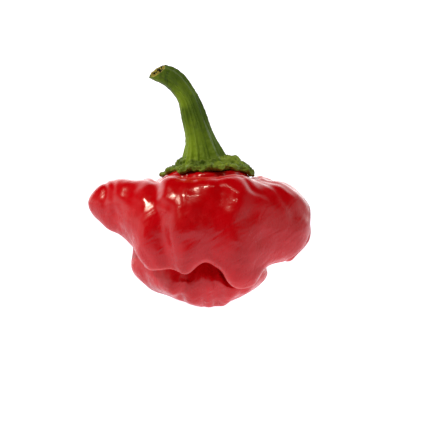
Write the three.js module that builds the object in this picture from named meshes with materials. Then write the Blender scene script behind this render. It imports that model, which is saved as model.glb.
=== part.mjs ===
// A bonnet chilli pepper as picked: a squat lobed pod standing on its own blossom end,
// the green calyx on its crown, and the curved stem. Millimetres, +Z up.
//
// The pod grew as one piece. Its skin runs from the crown, over a lip, out over the
// shoulders to the brim, in under a hanging hem, and down a smaller cup to three feet.
// Each meridian of the skin is one smooth curve through the same named stations. An
// azimuth is in degrees counter-clockwise from +X, seen from above, and -90 is the front.

import * as THREE from "three";

// Driving dimensions.
const GAP = 0.3;                  // between pieces that touch
const COLUMNS = 80;               // facets round the pod and the calyx, so that they match
const POD_ROWS = 46;              // facets from the pod's crown to its blossom end
const STEM_SIDES = 24;
const STEM_STEPS = 26;
const CALYX_TOP = 33.9;           // height of the flat that the stem stands on
const CALYX_NECK = 5;             // radius of that flat
const RIM_THICKNESS = 0.6;
const CUT_NORMAL = new THREE.Vector3(-0.58, -0.3, 0.75).normalize();
const CUT_FADE = 0.16;            // share of the stem that leans over to meet the cut

const POD_COLOUR = 0xb0101c;
const CALYX_COLOUR = 0x64782c;
const STEM_COLOUR = 0x5f7a1e;

// The pod's stations, crown to blossom end: [radius, height] on the body's plain
// meridian, and the same on the meridian through the long left arm.
const STATIONS = {
  crown:     { body: [0, 31.6],    arm: [0, 31.6] },
  crownMid:  { body: [6, 31.7],    arm: [6, 31.5] },
  crownEdge: { body: [9.6, 31],    arm: [9.4, 29.4] },
  groove:    { body: [11.2, 28.6], arm: [11.2, 27.9] },
  lip:       { body: [13.2, 30.3], arm: [14, 28.7] },
  shoulder:  { body: [17.8, 27.9], arm: [23, 28.6] },
  brim:      { body: [21.2, 19.8], arm: [26.8, 23] },
  under:     { body: [20.6, 13.2], arm: [24.8, 19.1] },
  hem:       { body: [18.4, 10],   arm: [19.5, 17.2] },
  tuck:      { body: [13.5, 12],   arm: [17, 14] },
  cup:       { body: [15.2, 7],    arm: [17, 8] },
  foot:      { body: [8.6, 0.9],   arm: [9.6, 1.9] },
  dimple:    { body: [4, 0.9],     arm: [4, 0.9] },
  blossom:   { body: [0, 2.2],     arm: [0, 2.2] },
};

// The lobes and the valleys between them, round the pod: how much of the arm's meridian
// each one has, how far its brim reaches out, how far its shoulder rises, how far its
// hem rises, and the radius at which its hem tucks in above the cup.
const LOBES = [
  { azimuth: -176, arm: 1.00, reach: 0.0,  rise: 0.0,  hem: 0.0,  tuck: 17.0 },   // arm
  { azimuth: -163, arm: 0.80, reach: -2.4, rise: 0.0,  hem: -0.6, tuck: 16.4 },   // its front flank
  { azimuth: -149, arm: 0.40, reach: -2.4, rise: -0.6, hem: -0.2, tuck: 15.4 },   // left valley
  { azimuth: -130, arm: 0.00, reach: 0.2,  rise: -0.4, hem: 0.2,  tuck: 14.0 },   // front left lobe
  { azimuth: -113, arm: 0.00, reach: -0.5, rise: 0.0,  hem: 0.6,  tuck: 13.0 },   // small notch
  { azimuth: -102, arm: 0.00, reach: 0.2,  rise: 0.0,  hem: 0.0,  tuck: 12.5 },   // front lobe
  { azimuth: -88,  arm: 0.00, reach: -1.0, rise: -0.3, hem: 2.8,  tuck: 10.5 },   // front notch
  { azimuth: -79,  arm: 0.00, reach: -0.5, rise: -0.2, hem: 1.2,  tuck: 11.0 },   // its right side
  { azimuth: -68,  arm: 0.00, reach: 0.3,  rise: 0.0,  hem: -3.2, tuck: 12.5 },   // front right lobe
  { azimuth: -55,  arm: 0.00, reach: 0.3,  rise: -0.2, hem: -3.4, tuck: 12.5 },   // its right end
  { azimuth: -40,  arm: 0.00, reach: 0.6,  rise: -0.7, hem: 0.1,  tuck: 14.0 },   // right valley
  { azimuth: -14,  arm: 0.30, reach: 2.6,  rise: -1.2, hem: -1.4, tuck: 15.0 },   // right lobe
  { azimuth: 14,   arm: 0.20, reach: 2.4,  rise: -2.2, hem: -0.6, tuck: 14.4 },   // right back lobe
  { azimuth: 38,   arm: 0.00, reach: -1.4, rise: -2.8, hem: 1.4,  tuck: 13.5 },   // back right valley
  { azimuth: 68,   arm: 0.10, reach: 1.0,  rise: -2.4, hem: -1.5, tuck: 13.0 },   // back right lobe
  { azimuth: 98,   arm: 0.00, reach: -1.5, rise: -3.2, hem: 2.0,  tuck: 11.5 },   // back notch
  { azimuth: 126,  arm: 0.10, reach: 0.6,  rise: -2.6, hem: -1.0, tuck: 13.0 },   // back left lobe
  { azimuth: 150,  arm: 0.05, reach: -2.8, rise: -2.0, hem: 1.5,  tuck: 14.8 },   // back left valley
  { azimuth: 170,  arm: 0.85, reach: -3.2, rise: -0.6, hem: 0.0,  tuck: 16.4 },   // arm's back flank
];

// What share of a lobe's reach, rise and hem each station takes.
const REACH_SHARES = { lip: 0.1, shoulder: 0.6, brim: 1, under: 1, hem: 0.8 };
const RISE_SHARES = { groove: 0.7, lip: 1, shoulder: 1, brim: 0.3 };
const HEM_SHARES = { brim: 0.15, under: 0.6, hem: 1, tuck: 1, cup: 0.35 };

// Rings of the pod that wander on their own: [azimuth, change of radius, change of height].
const RINGS = {
  crownEdge: [
    [-180, 0.2, 0], [-140, 0, -0.1], [-95, 0, 0.5], [-60, 0.2, 0.6], [-10, 1, 0],
    [30, 0.7, -1], [60, -0.2, -1.6], [95, 0.4, -1.6], [130, -0.3, -1.4],
  ],
  groove: [
    [-180, 0.2, 0.6], [-150, -0.1, -0.4], [-95, -0.2, 1.5], [-60, 0, 1.2], [-10, 0.8, 0.9],
    [35, 0.5, 0], [75, 0, 0.8], [105, 0.3, -0.3], [140, -0.2, 0.6],
  ],
  lip: [
    [-180, 0.1, 0], [-120, -0.2, 0.4], [-90, 0, 0.7], [-60, 0, 0.6], [-20, 0.5, 0.5], [10, 0.5, 0.9],
    [35, 0.3, 1.2], [70, 0, 0.4], [110, 0.2, 0.9], [140, -0.1, 0],
  ],
  shoulder: [
    [-100, 0, 0], [-70, 0, 0], [-32, 0.8, 0], [-8, 1, 0.2], [20, 0.6, 0], [60, 0, 0], [100, 0, 0],
  ],
  cup: [
    [-180, -0.2, 0], [-140, -0.6, 0], [-115, 0.2, 0], [-88, -1.2, 0], [-60, 0.6, 0],
    [-20, 0, 0], [20, -0.4, 0], [60, -1, 0], [100, 0.8, 0], [140, -0.6, 0],
  ],
  foot: [
    [-170, 0.6, 0.4], [-138, 1.2, 1], [-108, 0.6, 0.1], [-80, -1.2, -1.5], [-50, 0.8, 0],
    [-10, 0.2, 0.2], [35, -0.6, -1.5], [80, 0, 0.6], [130, -0.4, -1.5], [160, 0, 0.3],
  ],
};

// Creases pressed into the skin: the stations that each one passes, with its azimuth
// there, its half width in degrees and its depth in millimetres.
const CREASES = [
  { path: [["lip", -141], ["shoulder", -128], ["brim", -119], ["hem", -114]], width: 7, depth: 1.2 },
  { path: [["lip", -36], ["brim", -42]], width: 8, depth: 0.25 },
  { path: [["groove", 40], ["shoulder", 36], ["hem", 41]], width: 6, depth: 0.9 },
  { path: [["groove", 101], ["shoulder", 96], ["hem", 99]], width: 6, depth: 1.1 },
  { path: [["groove", 152], ["brim", 150], ["hem", 147]], width: 6, depth: 0.9 },
  { path: [["brim", -2], ["tuck", -4]], width: 3.5, depth: 1.3 },
  { path: [["tuck", -95], ["foot", -120]], width: 6, depth: 1.2 },
  { path: [["tuck", -84], ["foot", -68]], width: 6, depth: 1.2 },
  { path: [["tuck", 30], ["foot", 78]], width: 7, depth: 0.9 },
  { path: [["tuck", 120], ["foot", 84]], width: 6, depth: 0.8 },
  { path: [["tuck", 176], ["foot", 158]], width: 7, depth: 0.9 },
];
const CREASE_FADE = 0.3;          // share of a crease over which each end fades
const CREASE_OVERRUN = 0.1;       // share by which it runs past its first and last station

// The calyx's rim: [azimuth, radius, height].
const CALYX_RIM = [
  [-180, 9.8, 28.9], [-162, 9, 29.8], [-150, 9.2, 30.5], [-136, 9, 31.3], [-120, 10, 32.1],
  [-107, 9.5, 32.5], [-94, 10, 32.7], [-80, 9.6, 33], [-64, 10.2, 33.1], [-48, 9.8, 32.9],
  [-30, 10.7, 32.1], [-8, 12, 30.6], [15, 10.9, 30.4], [40, 9.8, 30.4], [70, 10.6, 30.1],
  [100, 9.6, 29.9], [130, 10.6, 29.7], [155, 9.6, 29.5],
];

// Rings between the calyx's flat and its rim: share of the rim's radius, height on the
// axis, how far the ring tilts up towards +X, share of the rim's height mixed in.
const CALYX_SLOPE = [
  { reach: 0.64, height: 33.2, tilt: 0.9, rimShare: 0 },
  { reach: 0.85, height: 32.6, tilt: 1.2, rimShare: 0.45 },
];
const CALYX_UNDER_SHARES = [0.97, 0.92, 0.85, 0.75, 0.6, 0.4, 0];   // rings of its underside

// The stem's middle line, base to cut end, and its radius by share of its length.
const STEM_LINE = [
  [0.1, 0, 34.2], [-0.5, 0, 37], [-2, 0, 43], [-4.3, 0, 49.2], [-7.6, 0, 52.9], [-10.6, 0, 54.3],
];
const STEM_RADII = [[0, 4.8], [0.127, 3.7], [0.37, 2.7], [0.59, 2.25], [0.89, 2.2], [1, 2.05]];

const STATION_NAMES = Object.keys(STATIONS);

// A smooth curve through rows of numbers at rising knots (a cubic Hermite whose
// tangents are the mean of the slopes on either side, weighted by the shorter step).
function smoothCurve(knots, rows) {
  const last = knots.length - 1;
  const slope = (i) => rows[i].map((value, k) => (rows[i + 1][k] - value) / (knots[i + 1] - knots[i]));
  const tangents = rows.map((row, i) => {
    if (i === 0) return slope(0);
    if (i === last) return slope(last - 1);
    const before = knots[i] - knots[i - 1];
    const after = knots[i + 1] - knots[i];
    const ahead = slope(i);
    return slope(i - 1).map((value, k) => (value * after + ahead[k] * before) / (before + after));
  });
  return (at) => {
    let i = 0;
    while (i < last - 1 && at >= knots[i + 1]) i += 1;
    const step = knots[i + 1] - knots[i];
    const t = (at - knots[i]) / step;
    const t2 = t * t;
    const t3 = t2 * t;
    return rows[i].map((value, k) => (2 * t3 - 3 * t2 + 1) * value
      + (t3 - 2 * t2 + t) * step * tangents[i][k]
      + (3 * t2 - 2 * t3) * rows[i + 1][k]
      + (t3 - t2) * step * tangents[i + 1][k]);
  };
}

// The same, closed round the pod: each row starts with its azimuth.
function ringCurve(rows) {
  const turned = [-360, 0, 360].flatMap((turn) => (
    rows.map(([azimuth, ...values]) => [azimuth + turn, values])
  ));
  const curve = smoothCurve(turned.map(([azimuth]) => azimuth), turned.map(([, values]) => values));
  return (azimuth) => curve(wrapDegrees(azimuth));
}

function wrapDegrees(angle) {
  return angle - 360 * Math.floor((angle + 180) / 360);
}

// Stations stand along every meridian at their share of its length, crown to blossom.
function stationKnots() {
  const mean = STATION_NAMES.map((name) => {
    const { body, arm } = STATIONS[name];
    return [(body[0] + arm[0]) / 2, (body[1] + arm[1]) / 2];
  });
  const reached = [0];
  for (let i = 1; i < mean.length; i += 1) {
    reached.push(reached[i - 1] + Math.hypot(mean[i][0] - mean[i - 1][0], mean[i][1] - mean[i - 1][1]));
  }
  return reached.map((length) => length / reached[reached.length - 1]);
}

const KNOTS = stationKnots();
const knotOf = (name) => KNOTS[STATION_NAMES.indexOf(name)];
const lobesAt = ringCurve(LOBES.map((lobe) => (
  [lobe.azimuth, lobe.arm, lobe.reach, lobe.rise, lobe.hem, lobe.tuck]
)));
const ringsAt = Object.entries(RINGS).map(([name, rows]) => [name, ringCurve(rows)]);

// One meridian of the pod: [radius, height] at a share of its length.
function podMeridian(azimuth) {
  const [armShare, reach, rise, hem, tuck] = lobesAt(azimuth);
  const arm = THREE.MathUtils.clamp(armShare, 0, 1);
  const stations = STATION_NAMES.map((name) => {
    const station = STATIONS[name];
    const radius = station.body[0] * (1 - arm) + station.arm[0] * arm;
    const height = station.body[1] * (1 - arm) + station.arm[1] * arm;
    const out = reach * (REACH_SHARES[name] ?? 0);
    const up = rise * (RISE_SHARES[name] ?? 0) + hem * (HEM_SHARES[name] ?? 0);
    return [name === "tuck" ? tuck : radius + out, height + up];
  });
  for (const [name, changeAt] of ringsAt) {
    const [out, up] = changeAt(azimuth);
    const station = stations[STATION_NAMES.indexOf(name)];
    station[0] += out;
    station[1] += up;
  }
  return smoothCurve(KNOTS, stations);
}

// How deep the creases press into the skin at one place.
function creaseDepth(azimuth, along) {
  let depth = 0;
  for (const { path, width, depth: deepest } of CREASES) {
    const knots = path.map(([name]) => knotOf(name));
    const start = knots[0];
    const share = (along - start) / (knots[knots.length - 1] - start);
    const inwards = THREE.MathUtils.smoothstep(share, -CREASE_OVERRUN, CREASE_FADE - CREASE_OVERRUN);
    const outwards = THREE.MathUtils.smoothstep(1 + CREASE_OVERRUN - share, 0, CREASE_FADE);
    const across = wrapDegrees(azimuth - straightLine(knots, path.map(([, turn]) => turn), along)) / width;
    depth += deepest * inwards * outwards * Math.exp(-across * across);
  }
  return depth;
}

// Straight from value to value, and level beyond the first and last knot.
function straightLine(knots, values, at) {
  const last = knots.length - 1;
  if (at <= knots[0]) return values[0];
  if (at >= knots[last]) return values[last];
  const i = knots.findIndex((knot) => knot > at) - 1;
  return THREE.MathUtils.mapLinear(at, knots[i], knots[i + 1], values[i], values[i + 1]);
}

// A point of the pod's skin. A crease moves it in, square to the meridian, and the
// surface that the pod stands on flattens its feet.
function podPoint(azimuth, along) {
  const meridian = podMeridian(azimuth);
  const nudge = 0.002;
  const before = meridian(Math.max(along - nudge, 0));
  const after = meridian(Math.min(along + nudge, 1));
  const length = Math.hypot(after[0] - before[0], after[1] - before[1]);
  const depth = creaseDepth(azimuth, along) / length;
  const [radius, height] = meridian(along);
  return polar(
    azimuth,
    Math.max(radius + depth * (after[1] - before[1]), 0),
    Math.max(height - depth * (after[0] - before[0]), 0),
  );
}

function polar(azimuth, radius, height) {
  const turn = THREE.MathUtils.degToRad(azimuth);
  return new THREE.Vector3(radius * Math.cos(turn), radius * Math.sin(turn), height);
}

// The crown's height above a point under the calyx, found by halving the meridian
// between the pod's middle and its groove.
function crownHeight(azimuth, radius) {
  const meridian = podMeridian(azimuth);
  let inner = 0;
  let outer = knotOf("groove");
  for (let halving = 0; halving < 20; halving += 1) {
    const middle = (inner + outer) / 2;
    if (meridian(middle)[0] < radius) inner = middle;
    else outer = middle;
  }
  return meridian(inner)[1];
}

// A closed skin over a grid: rows from one pole to the other, columns round the axis.
// A sphere's grid has the right faces already, so only its points are moved.
function closedSkin(columns, rows, pointAt) {
  const geometry = new THREE.SphereGeometry(1, columns, rows);
  const places = geometry.getAttribute("position");
  for (let row = 0; row <= rows; row += 1) {
    for (let column = 0; column <= columns; column += 1) {
      const point = pointAt(column % columns, row);
      places.setXYZ(row * (columns + 1) + column, point.x, point.y, point.z);
    }
  }
  geometry.computeVertexNormals();
  return geometry;
}

function podGeometry() {
  return closedSkin(COLUMNS, POD_ROWS, (column, row) => (
    podPoint(-180 + 360 * column / COLUMNS, row / POD_ROWS)
  ));
}

// The calyx: a low cone from the flat under the stem out to a scalloped rim, with its
// underside lying a gap above the crown.
function calyxGeometry() {
  const rimAt = ringCurve(CALYX_RIM);
  const sections = [];
  for (let column = 0; column < COLUMNS; column += 1) {
    const azimuth = -180 + 360 * column / COLUMNS;
    const [rim, rimHeight] = rimAt(azimuth);
    const tilt = Math.cos(THREE.MathUtils.degToRad(azimuth));
    const under = CALYX_UNDER_SHARES.map((share) => (
      [share * rim, crownHeight(azimuth, share * rim) + GAP]
    ));
    const edge = Math.max(rimHeight, under[0][1] + RIM_THICKNESS);
    const slope = CALYX_SLOPE.map((ring) => (
      [ring.reach * rim, THREE.MathUtils.lerp(ring.height + ring.tilt * tilt, edge, ring.rimShare)]
    ));
    const upper = [[0, CALYX_TOP], [CALYX_NECK, CALYX_TOP], ...slope, [rim, edge]];
    sections.push([...upper, ...under].map(([radius, height]) => polar(azimuth, radius, height)));
  }
  return closedSkin(COLUMNS, sections[0].length - 1, (column, row) => sections[column][row]);
}

// The stem: rings square to its middle line, the last ones leaning over to the cut.
function stemGeometry() {
  const marks = STEM_LINE.map((point) => new THREE.Vector3(...point));
  const reached = [0];
  for (let i = 1; i < marks.length; i += 1) {
    reached.push(reached[i - 1] + marks[i].distanceTo(marks[i - 1]));
  }
  const shares = reached.map((length) => length / reached[reached.length - 1]);
  const lineAt = smoothCurve(shares, STEM_LINE);
  const radiusAt = smoothCurve(STEM_RADII.map(([share]) => share), STEM_RADII.map(([, radius]) => [radius]));
  const middleAt = (share) => new THREE.Vector3(...lineAt(share));
  const sideways = new THREE.Vector3(0, 1, 0);

  return closedSkin(STEM_SIDES, STEM_STEPS + 2, (side, row) => {
    const share = 1 - THREE.MathUtils.clamp((row - 1) / STEM_STEPS, 0, 1);
    const middle = middleAt(share);
    if (row === 0 || row === STEM_STEPS + 2) return middle;
    const ahead = middleAt(Math.min(share + 0.01, 1)).sub(middleAt(Math.max(share - 0.01, 0)));
    if (share === 0) ahead.set(0, 0, 1);
    ahead.normalize();
    const turn = 2 * Math.PI * side / STEM_SIDES;
    const across = new THREE.Vector3().crossVectors(sideways, ahead).multiplyScalar(Math.cos(turn));
    across.addScaledVector(sideways, Math.sin(turn)).multiplyScalar(radiusAt(share)[0]);
    const lean = THREE.MathUtils.smoothstep(share, 1 - CUT_FADE, 1);
    const slide = -lean * across.dot(CUT_NORMAL) / ahead.dot(CUT_NORMAL);
    return middle.add(across).addScaledVector(ahead, slide);
  });
}

function piece(name, geometry, color, roughness) {
  const mesh = new THREE.Mesh(geometry, new THREE.MeshStandardMaterial({ color, roughness, metalness: 0 }));
  mesh.name = name;
  return mesh;
}

const pepper = new THREE.Group();
pepper.add(piece("pod", podGeometry(), POD_COLOUR, 0.25));
pepper.add(piece("calyx", calyxGeometry(), CALYX_COLOUR, 0.6));
pepper.add(piece("stem", stemGeometry(), STEM_COLOUR, 0.5));

// The origin is on the surface that the pod stands on, under the middle of its box.
const extent = new THREE.Box3().setFromObject(pepper);
const middle = extent.getCenter(new THREE.Vector3());
pepper.position.set(-middle.x, -middle.y, -extent.min.z);

export default pepper;
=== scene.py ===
"""A bonnet chilli pepper standing on a pale studio floor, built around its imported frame.

The pod, the calyx and the stem are each one closed surface worked out with numpy, in
millimetres, and put into the frame in metres.
"""
import math

import bpy
import numpy as np
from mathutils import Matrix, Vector


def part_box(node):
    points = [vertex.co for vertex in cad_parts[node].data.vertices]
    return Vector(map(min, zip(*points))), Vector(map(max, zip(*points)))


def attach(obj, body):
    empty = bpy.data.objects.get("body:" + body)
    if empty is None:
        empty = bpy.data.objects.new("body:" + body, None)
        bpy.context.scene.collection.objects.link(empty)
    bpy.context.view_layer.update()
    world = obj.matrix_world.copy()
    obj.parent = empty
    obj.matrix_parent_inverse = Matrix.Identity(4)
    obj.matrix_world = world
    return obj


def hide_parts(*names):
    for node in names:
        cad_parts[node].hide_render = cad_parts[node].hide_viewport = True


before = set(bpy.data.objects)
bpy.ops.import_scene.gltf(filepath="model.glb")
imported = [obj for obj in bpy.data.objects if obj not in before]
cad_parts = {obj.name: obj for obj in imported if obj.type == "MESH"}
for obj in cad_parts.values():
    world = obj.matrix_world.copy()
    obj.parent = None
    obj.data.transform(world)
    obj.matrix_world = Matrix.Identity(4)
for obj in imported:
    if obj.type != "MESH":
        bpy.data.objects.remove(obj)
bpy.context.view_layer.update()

bl_info = {
    "name": "Bonnet chilli pepper",
    "version": (1, 0, 0),
    "blender": (4, 5, 0),
    "location": "3D View > Sidebar > Pepper",
    "description": "Builds a lobed chilli pepper with its calyx, stem and studio",
    "category": "Add Mesh",
}

MM = 0.001
BODY = "root"

# ---------------------------------------------------------------------------
# The pod's measures, in millimetres and degrees. An azimuth runs counter-clockwise
# from +X seen from above, so -90 is the front.
# ---------------------------------------------------------------------------

# Stations from the crown to the blossom end: (radius, height) on the plain meridian of
# the body, and on the meridian through the long left arm.
STATIONS = {
    "crown": ((0.0, 31.6), (0.0, 31.6)),
    "crown_mid": ((6.0, 31.7), (6.0, 31.5)),
    "crown_edge": ((9.6, 31.0), (9.4, 29.4)),
    "groove": ((11.2, 28.6), (11.2, 27.9)),
    "lip": ((13.2, 30.3), (14.0, 28.7)),
    "shoulder": ((17.8, 27.9), (23.0, 28.6)),
    "brim": ((21.2, 19.8), (26.8, 23.0)),
    "under": ((20.6, 13.2), (24.8, 19.1)),
    "hem": ((18.4, 10.0), (19.5, 17.2)),
    "tuck": ((13.5, 12.0), (17.0, 14.0)),
    "cup": ((15.2, 7.0), (17.0, 8.0)),
    "foot": ((8.6, 0.9), (9.6, 1.9)),
    "dimple": ((4.0, 0.9), (4.0, 0.9)),
    "blossom": ((0.0, 2.2), (0.0, 2.2)),
}
STATION_NAMES = list(STATIONS)

# Lobes and valleys round the pod: azimuth, share of the arm's meridian, reach of the
# brim, rise of the shoulder, rise of the hem, radius where the hem tucks in.
LOBES = (
    (-176, 1.00, 0.0, 0.0, 0.0, 17.0),      # arm
    (-163, 0.80, -2.4, 0.0, -0.6, 16.4),    # its front flank
    (-149, 0.40, -2.4, -0.6, -0.2, 15.4),   # left valley
    (-130, 0.00, 0.2, -0.4, 0.2, 14.0),     # front left lobe
    (-113, 0.00, -0.5, 0.0, 0.6, 13.0),     # small notch
    (-102, 0.00, 0.2, 0.0, 0.0, 12.5),      # front lobe
    (-88, 0.00, -1.0, -0.3, 2.8, 10.5),     # front notch
    (-79, 0.00, -0.5, -0.2, 1.2, 11.0),     # its right side
    (-68, 0.00, 0.3, 0.0, -3.2, 12.5),      # front right lobe
    (-55, 0.00, 0.3, -0.2, -3.4, 12.5),     # its right end
    (-40, 0.00, 0.6, -0.7, 0.1, 14.0),     # right valley
    (-14, 0.30, 2.6, -1.2, -1.4, 15.0),     # right lobe
    (14, 0.20, 2.4, -2.2, -0.6, 14.4),      # right back lobe
    (38, 0.00, -1.4, -2.8, 1.4, 13.5),      # back right valley
    (68, 0.10, 1.0, -2.4, -1.5, 13.0),      # back right lobe
    (98, 0.00, -1.5, -3.2, 2.0, 11.5),      # back notch
    (126, 0.10, 0.6, -2.6, -1.0, 13.0),     # back left lobe
    (150, 0.05, -2.8, -2.0, 1.5, 14.8),     # back left valley
    (170, 0.85, -3.2, -0.6, 0.0, 16.4),     # arm's back flank
)
REACH_SHARES = {"lip": 0.1, "shoulder": 0.6, "brim": 1.0, "under": 1.0, "hem": 0.8}
RISE_SHARES = {"groove": 0.7, "lip": 1.0, "shoulder": 1.0, "brim": 0.3}
HEM_SHARES = {"brim": 0.15, "under": 0.6, "hem": 1.0, "tuck": 1.0, "cup": 0.35}

# Rings that wander on their own: azimuth, change of radius, change of height.
RINGS = {
    "crown_edge": (
        (-180, 0.2, 0.0), (-140, 0.0, -0.1), (-95, 0.0, 0.5), (-60, 0.2, 0.6), (-10, 1.0, 0.0),
        (30, 0.7, -1.0), (60, -0.2, -1.6), (95, 0.4, -1.6), (130, -0.3, -1.4),
    ),
    "groove": (
        (-180, 0.2, 0.6), (-150, -0.1, -0.4), (-95, -0.2, 1.5), (-60, 0.0, 1.2), (-10, 0.8, 0.9),
        (35, 0.5, 0.0), (75, 0.0, 0.8), (105, 0.3, -0.3), (140, -0.2, 0.6),
    ),
    "lip": (
        (-180, 0.1, 0.0), (-120, -0.2, 0.4), (-90, 0.0, 0.7), (-60, 0.0, 0.6), (-20, 0.5, 0.5),
        (10, 0.5, 0.9), (35, 0.3, 1.2), (70, 0.0, 0.4), (110, 0.2, 0.9), (140, -0.1, 0.0),
    ),
    "shoulder": (
        (-100, 0.0, 0.0), (-70, 0.0, 0.0), (-32, 0.8, 0.0), (-8, 1.0, 0.2), (20, 0.6, 0.0),
        (60, 0.0, 0.0), (100, 0.0, 0.0),
    ),
    "cup": (
        (-180, -0.2, 0.0), (-140, -0.6, 0.0), (-115, 0.2, 0.0), (-88, -1.2, 0.0), (-60, 0.6, 0.0),
        (-20, 0.0, 0.0), (20, -0.4, 0.0), (60, -1.0, 0.0), (100, 0.8, 0.0), (140, -0.6, 0.0),
    ),
    "foot": (
        (-170, 0.6, 0.4), (-138, 1.2, 1.0), (-108, 0.6, 0.1), (-80, -1.2, -1.5), (-50, 0.8, 0.0),
        (-10, 0.2, 0.2), (35, -0.6, -1.5), (80, 0.0, 0.6), (130, -0.4, -1.5), (160, 0.0, 0.3),
    ),
}

# Creases pressed into the skin: the stations each one passes with its azimuth there,
# its half width in degrees, its depth in millimetres.
CREASES = (
    ((("lip", -141), ("shoulder", -128), ("brim", -119), ("hem", -114)), 7.0, 1.2),
    ((("lip", -36), ("brim", -42)), 8.0, 0.25),
    ((("groove", 40), ("shoulder", 36), ("hem", 41)), 6.0, 0.9),
    ((("groove", 101), ("shoulder", 96), ("hem", 99)), 6.0, 1.1),
    ((("groove", 152), ("brim", 150), ("hem", 147)), 6.0, 0.9),
    ((("brim", -2), ("under", -11), ("hem", -20)), 3.0, 1.2),
    ((("tuck", -95), ("foot", -120)), 6.0, 1.2),
    ((("tuck", -84), ("foot", -68)), 6.0, 1.2),
    ((("tuck", 30), ("foot", 78)), 7.0, 0.9),
    ((("tuck", 120), ("foot", 84)), 6.0, 0.8),
    ((("tuck", 176), ("foot", 158)), 7.0, 0.9),
    # Pleats too fine for the frame.
    ((("lip", -30), ("brim", -27)), 3.4, 0.24),
    ((("lip", -21), ("brim", -17)), 3.0, 0.20),
    ((("lip", -12), ("shoulder", -9)), 3.0, 0.16),
    ((("lip", 6), ("brim", 6)), 3.4, 0.30),
    ((("shoulder", 62), ("under", 60)), 3.0, 0.45),
    ((("shoulder", 78), ("tuck", 80)), 4.0, 0.60),
    ((("lip", 122), ("brim", 124)), 3.5, 0.50),
    ((("tuck", -104), ("cup", -108)), 4.0, 0.70),
    ((("tuck", -60), ("foot", -50)), 5.0, 0.60),
    ((("tuck", -90), ("foot", -88)), 2.5, 0.50),
    ((("tuck", -72), ("cup", -66)), 3.0, 0.40),
    ((("lip", -52), ("shoulder", -50)), 4.0, 0.25),
    ((("lip", -75), ("shoulder", -77)), 4.0, 0.20),
    ((("lip", -100), ("shoulder", -97)), 4.0, 0.25),
    ((("crown_edge", -70), ("lip", -68)), 4.0, 0.30),
    ((("crown_edge", -112), ("lip", -114)), 4.0, 0.30),
    ((("crown_edge", -38), ("lip", -42)), 4.0, 0.30),
)
# Rounded beads along two stations: half width as a share of the meridian, swell.
BEADS = (("lip", 0.010, 0.40), ("hem", 0.011, 0.50))
# Shares of a crease's length: how fast each end fades, and how far it runs past its path.
CREASE_FADE = 0.3
CREASE_OVERRUN = 0.1

# Soft hollows and swellings: azimuth, station, size in millimetres, height (minus: hollow).
LUMPS = (
    (-128, ("under", "hem", 0.2), 2.0, -0.55),
    (-100, ("brim", "under", 0.2), 4.0, 0.35),
    (-62, ("brim", "under", 0.6), 5.0, 0.40),
    (-70, ("shoulder", "brim", 0.4), 4.5, -0.30),
    (-45, ("under", "hem", 0.3), 3.0, -0.35),
    (-30, ("brim", "under", 0.3), 4.5, 0.35),
    (-160, ("brim", "under", 0.0), 3.5, -0.30),
    (20, ("brim", "under", 0.2), 4.0, -0.35),
    (66, ("brim", "under", 0.5), 5.0, 0.35),
    (128, ("shoulder", "brim", 0.6), 4.5, 0.35),
    (-120, ("cup", "foot", 0.4), 3.0, 0.45),
    (-96, ("cup", "foot", 0.5), 2.6, 0.35),
    (-58, ("cup", "foot", 0.3), 3.0, 0.40),
    (0, ("cup", "foot", 0.3), 4.0, -0.40),
    (100, ("cup", "foot", 0.4), 3.5, 0.40),
)
# Rings of wrinkle round the arm's end: distance left of the axis, width, depth.
ARM_WRINKLES = ((23.0, 0.6, 0.25), (20.8, 0.7, 0.14))
ARM_WRINKLE_FLOOR = (19.0, 26.0)  # heights over which they set in
# Waviness of the skin: seed, wavelength, height.
WAVINESS = ((3, 7.0, 0.15), (4, 2.6, 0.02))
POLE_SHARE = 0.05    # of a meridian at each pole, where lumps and waviness fade out
TUCK_WIDTH = 0.05    # half width of the tucked skin, as a share of the meridian
PLAIN_FINENESS = 240  # columns and rows of the plain pod that is compared with the frame
CROWN_STEPS = 160    # places on each meridian where the crown's height is worked out

# ---------------------------------------------------------------------------
# Calyx and stem.
# ---------------------------------------------------------------------------
# The calyx's rim: azimuth, radius, height.
CALYX_RIM = (
    (-180, 9.8, 28.9), (-162, 9.0, 29.8), (-150, 9.2, 30.5), (-136, 9.0, 31.3), (-120, 10.0, 32.1),
    (-107, 9.5, 32.5), (-94, 10.0, 32.7), (-80, 9.6, 33.0), (-64, 10.2, 33.1), (-48, 9.8, 32.9),
    (-30, 10.7, 32.1), (-8, 12.0, 30.6), (15, 10.9, 30.4), (40, 9.8, 30.4), (70, 10.6, 30.1),
    (100, 9.6, 29.9), (130, 10.6, 29.7), (155, 9.6, 29.5),
)
CALYX_CLEARANCE = 0.12  # between the calyx and the crown
CALYX_EDGE = 0.7        # least thickness
CALYX_LIP = 0.1         # how far the lip stands above the edge
CALYX_ROLL = 1.015      # reach of the rolled edge, as a share of the rim's radius
# Places on the upper side, from the neck out: radius (the neck's in millimetres, the
# others as shares of the rim's), height, and how much the right side is higher.
CALYX_NECK = (4.4, 34.2, 0.2)
CALYX_MIDDLE = (0.64, 33.2, 0.9)
CALYX_SLOPE = (0.85, 32.6, 1.2)
SLOPE_EDGE_SHARE = 0.45  # how much the slope's height follows the rim's
CALYX_UNDER_SHARES = (0.97, 0.9, 0.75, 0.45, 0.0)
CALYX_KNOTS = (0.0, 0.16, 0.34, 0.52, 0.68, 0.715, 0.75, 0.79, 0.85, 0.92, 1.0)
CALYX_TOP_SPAN = (0.02, 0.2)  # shares of the profile over which the wrinkles set in
CALYX_TOP_END = 0.78
CALYX_TOP_FADE = 0.1
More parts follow.
